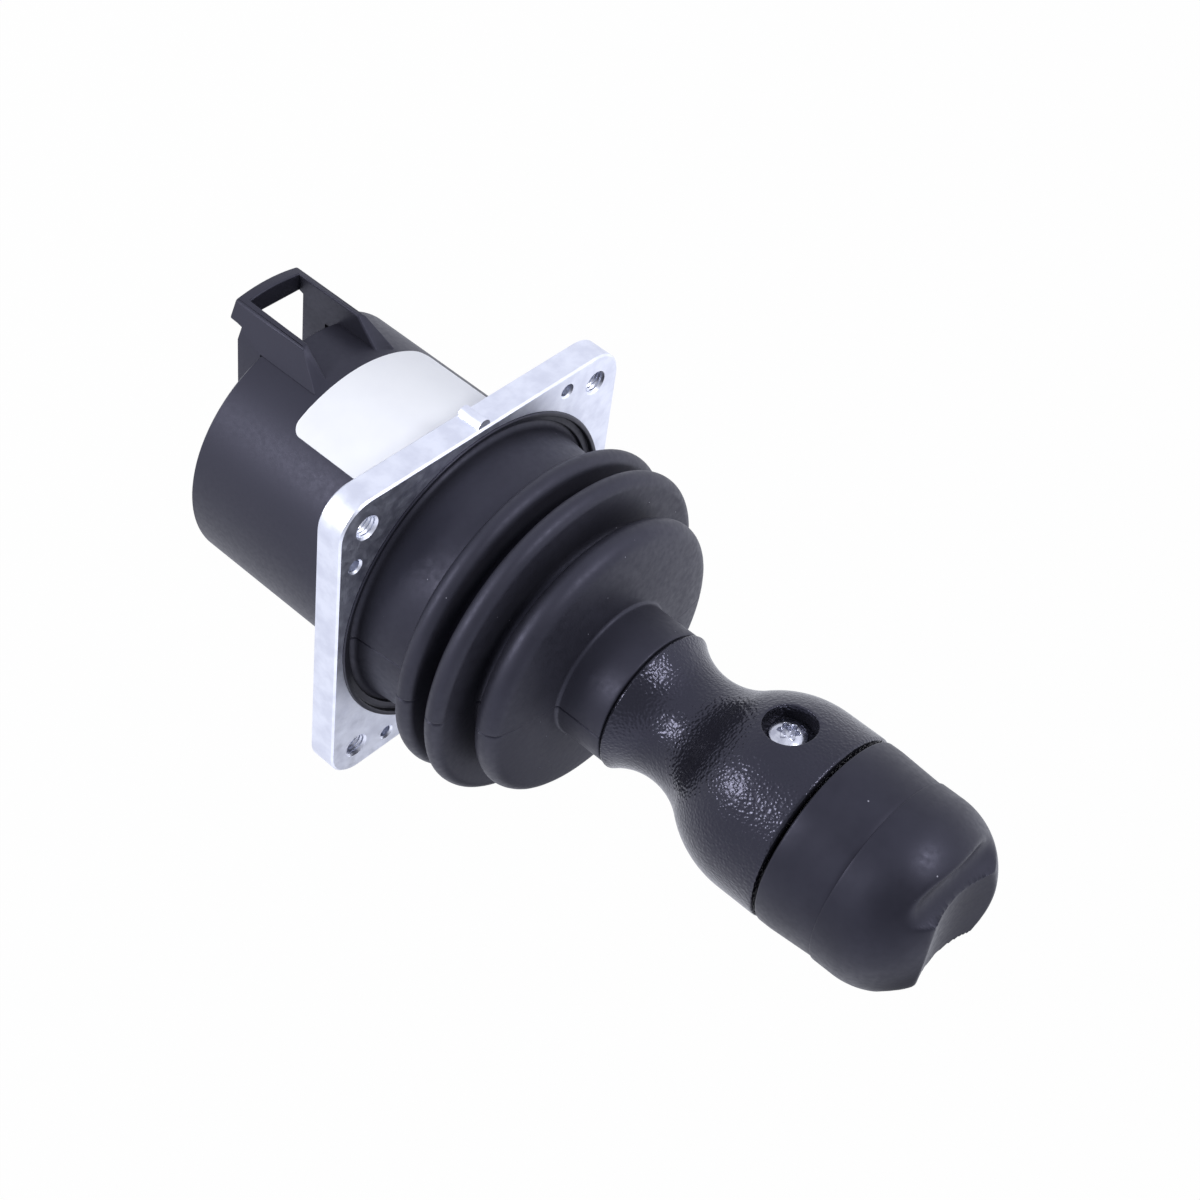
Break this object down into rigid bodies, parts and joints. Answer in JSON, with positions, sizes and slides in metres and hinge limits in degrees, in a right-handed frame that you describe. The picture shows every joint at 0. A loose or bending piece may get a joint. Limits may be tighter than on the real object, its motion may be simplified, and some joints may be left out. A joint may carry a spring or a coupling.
{
  "type": "industrial joystick",
  "caption": "Panel-mounted industrial joystick: square flange plate, round housing with a guarded plug, rubber gaiter, waisted handle that tilts two ways and a twist knob.",
  "frame": {"origin": "centre of the mounting plate's front face", "axes": "+Z out along the handle at rest, +Y towards the plate's datum rib and the plug guard, +X to the right"},
  "size_m": [0.095, 0.097, 0.2313],
  "materials": {
    "machined_aluminium": "milled, satin",
    "housing_nylon": "moulded, fine matte texture",
    "black_rubber": "moulded rubber, matte",
    "ring_plastic": "moulded, satin",
    "label_film": "blank polyester film",
    "zinc_steel": "zinc plated",
    "board_laminate": "solder mask",
    "chip_resin": "moulded resin",
    "plated_contact": "gold flash",
    "ground_steel": "ground",
    "spring_steel": "oiled wire",
    "bronze": "sintered",
    "magnet_plating": "nickel plated",
    "handle_plastic": "moulded, glossy leather grain",
    "bearing_plastic": "acetal",
    "knob_rubber": "moulded, soft matte"
  },
  "bodies": {
    "base": {"mounting_plate": "machined_aluminium", "frame_screws": "zinc_steel", "housing_screws": "zinc_steel", "housing": "housing_nylon", "housing_gasket": "black_rubber", "label": "label_film", "rear_cover": "housing_nylon", "cover_seal": "black_rubber", "cover_screws": "zinc_steel", "circuit_board": "board_laminate", "board_screws": "zinc_steel", "sensor_chips": "chip_resin", "board_chips": "chip_resin", "connector_header": "housing_nylon", "connector_pins": "plated_contact", "gimbal_frame": "machined_aluminium", "pitch_bushes": "bronze", "limit_gate": "ground_steel", "gate_screws": "zinc_steel", "pitch_spring": "spring_steel", "gaiter": "black_rubber", "gaiter_ring": "ring_plastic"},
    "gimbal": {"gimbal_ring": "machined_aluminium", "pitch_pins": "ground_steel", "roll_bushes": "bronze", "roll_spring": "spring_steel"},
    "stick": {"stick_hub": "machined_aluminium", "roll_pins": "ground_steel", "hub_pin": "ground_steel", "stick_shaft": "ground_steel", "magnet_holder": "ring_plastic", "stick_magnet": "magnet_plating", "neck_sleeve": "ring_plastic", "handle_shell": "handle_plastic", "handle_screw": "zinc_steel", "bearing_plate": "bearing_plastic", "bearing_screws": "zinc_steel", "twist_board": "board_laminate", "twist_chip": "chip_resin", "twist_spring": "spring_steel"},
    "knob": {"knob_spindle": "ground_steel", "twist_magnet": "magnet_plating", "spindle_clip": "spring_steel", "thrust_washer": "ring_plastic", "knob_core": "bearing_plastic", "stop_pin": "ground_steel", "knob_screw": "zinc_steel", "knob_cap": "knob_rubber"}
  },
  "joints": [
    {"name": "pitch_tilt", "type": "hinge", "parent": "base", "child": "gimbal", "pos_m": [0, 0, -0.012], "axis": [1, 0, 0], "range_deg": [-20, 20], "stiffness_Nm_per_rad": 2.5, "deforming": ["gaiter", "pitch_spring"]},
    {"name": "roll_tilt", "type": "hinge", "parent": "gimbal", "child": "stick", "pos_m": [0, 0, -0.012], "axis": [0, 1, 0], "range_deg": [-20, 20], "stiffness_Nm_per_rad": 2.5, "deforming": ["gaiter", "roll_spring"]},
    {"name": "knob_twist", "type": "hinge", "parent": "stick", "child": "knob", "pos_m": [0, 0, 0.114], "axis": [0, 0, 1], "range_deg": [-30, 30], "stiffness_Nm_per_rad": 0.3, "deforming": ["twist_spring"]}
  ]
}
